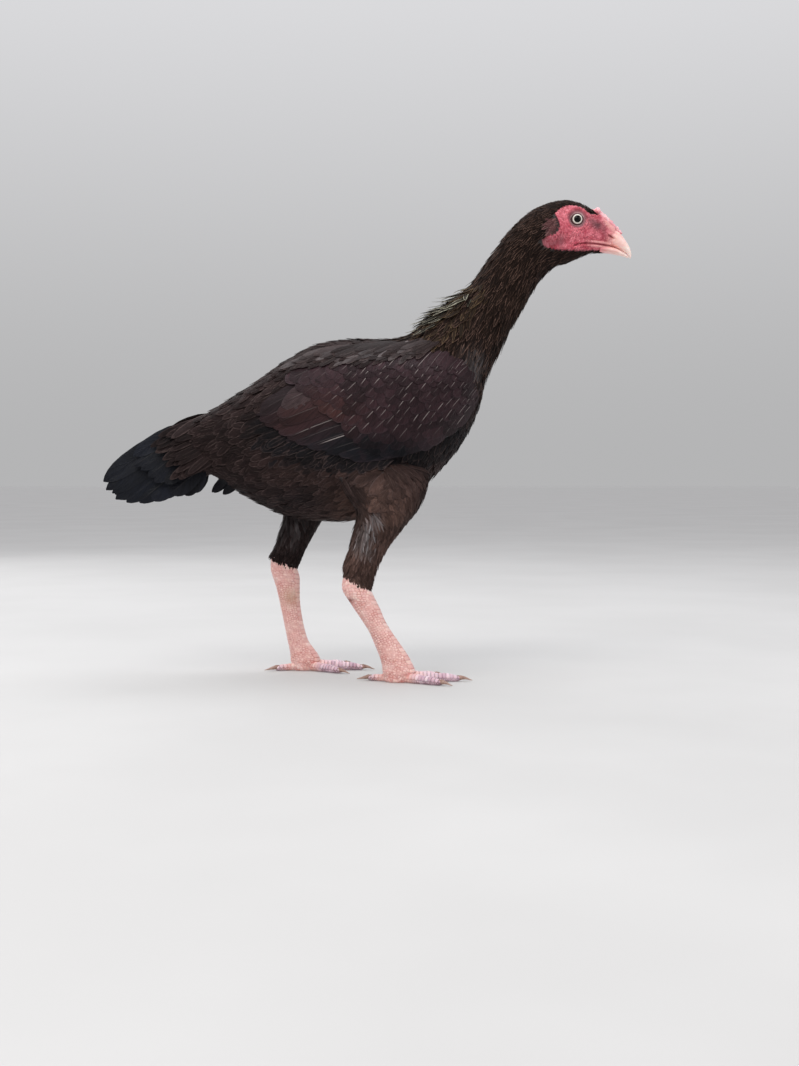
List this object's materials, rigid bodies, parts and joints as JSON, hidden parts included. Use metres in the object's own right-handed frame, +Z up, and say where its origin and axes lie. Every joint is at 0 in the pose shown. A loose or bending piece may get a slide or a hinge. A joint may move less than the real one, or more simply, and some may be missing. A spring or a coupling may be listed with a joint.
{
  "type": "aseel chicken",
  "caption": "Life-size aseel hen standing in a slow walking stance, tall neck raised, wings folded, short tail drooping, bare scaled shanks and splayed toes.",
  "frame": {"origin": "on the floor under the middle of the bounding box, with both soles on z = 0", "axes": "+X forward towards the bill, +Y to the bird's left, +Z up"},
  "size_m": [0.527, 0.1636, 0.476],
  "materials": {
    "plumage": "hard close dark brown body feathers with pale shafts",
    "hackle": "narrow dark brown neck feathers edged with buff",
    "wing_feather": "smooth overlapping brown wing feathers, blue-black along the lower edge",
    "tail_feather": "blue-black tail feathers with a soft gloss",
    "face_skin": "bare crimson skin, finely folded and pebbled",
    "comb": "low knobbed pink-red comb",
    "beak": "smooth pale horn, pinkish at the base",
    "eye": "wet pearl-white iris round a black pupil",
    "shank_scale": "pink scaled skin with redder skin between the scutes",
    "claw": "worn horn, darker at the base"
  },
  "bodies": {
    "root": {"torso": "plumage", "neck": "hackle", "head": "face_skin", "comb": "comb", "beak_upper": "beak", "beak_lower": "beak", "eye_left": "eye", "eye_right": "eye", "wing_left": "wing_feather", "wing_right": "wing_feather", "tail": "tail_feather", "thigh_left": "plumage", "thigh_right": "plumage", "shank_left": "shank_scale", "shank_right": "shank_scale", "foot_left": "shank_scale", "foot_right": "shank_scale", "claw_left_1": "claw", "claw_left_2": "claw", "claw_left_3": "claw", "claw_left_4": "claw", "claw_right_1": "claw", "claw_right_2": "claw", "claw_right_3": "claw", "claw_right_4": "claw"}
  },
  "joints": []
}
